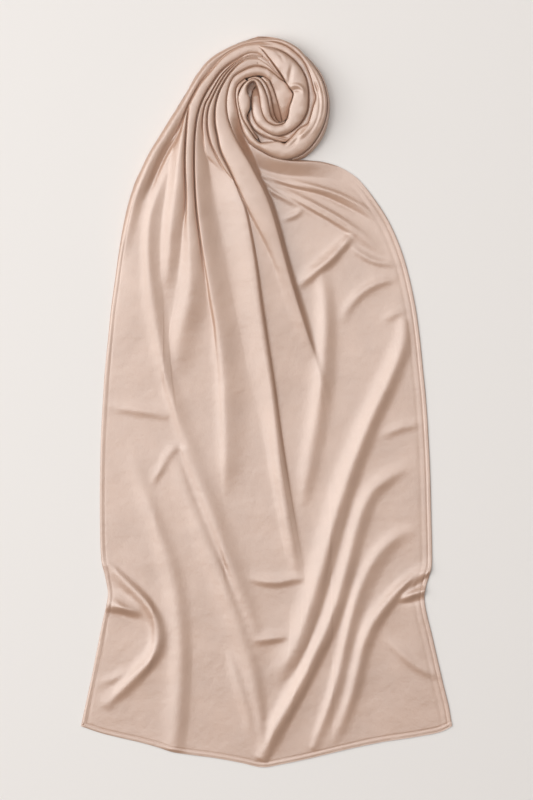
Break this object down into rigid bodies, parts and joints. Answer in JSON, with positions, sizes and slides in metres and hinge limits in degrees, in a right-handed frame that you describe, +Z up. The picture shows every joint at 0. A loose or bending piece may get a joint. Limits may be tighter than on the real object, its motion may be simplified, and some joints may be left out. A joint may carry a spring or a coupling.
{
  "type": "jersey hijab laid flat with its gathered end wound into a rosette",
  "caption": "Long plain jersey head scarf laid flat in soft folds, its upper end gathered into pleats and wound into a flat rosette.",
  "frame": {"origin": "middle of the laid cloth's plan, on the surface it rests on", "axes": "+Z up from the surface, +Y along the cloth from the hem towards the rosette, +X to the right seen from above"},
  "size_m": [0.6672, 1.3118, 0.037],
  "materials": {
    "jersey": "plain champagne-beige knitted jersey with a soft silky sheen and a very fine even knit"
  },
  "bodies": {
    "root": {"panel": "jersey", "gather": "jersey", "turn_outer": "jersey", "turn_wide": "jersey", "turn_narrow": "jersey", "flap": "jersey", "pleat_ends": "jersey", "turn_inner": "jersey", "heart_loop": "jersey", "heart_hollow": "jersey", "heart_fold_1": "jersey", "heart_fold_2": "jersey", "tuck": "jersey"}
  },
  "joints": []
}
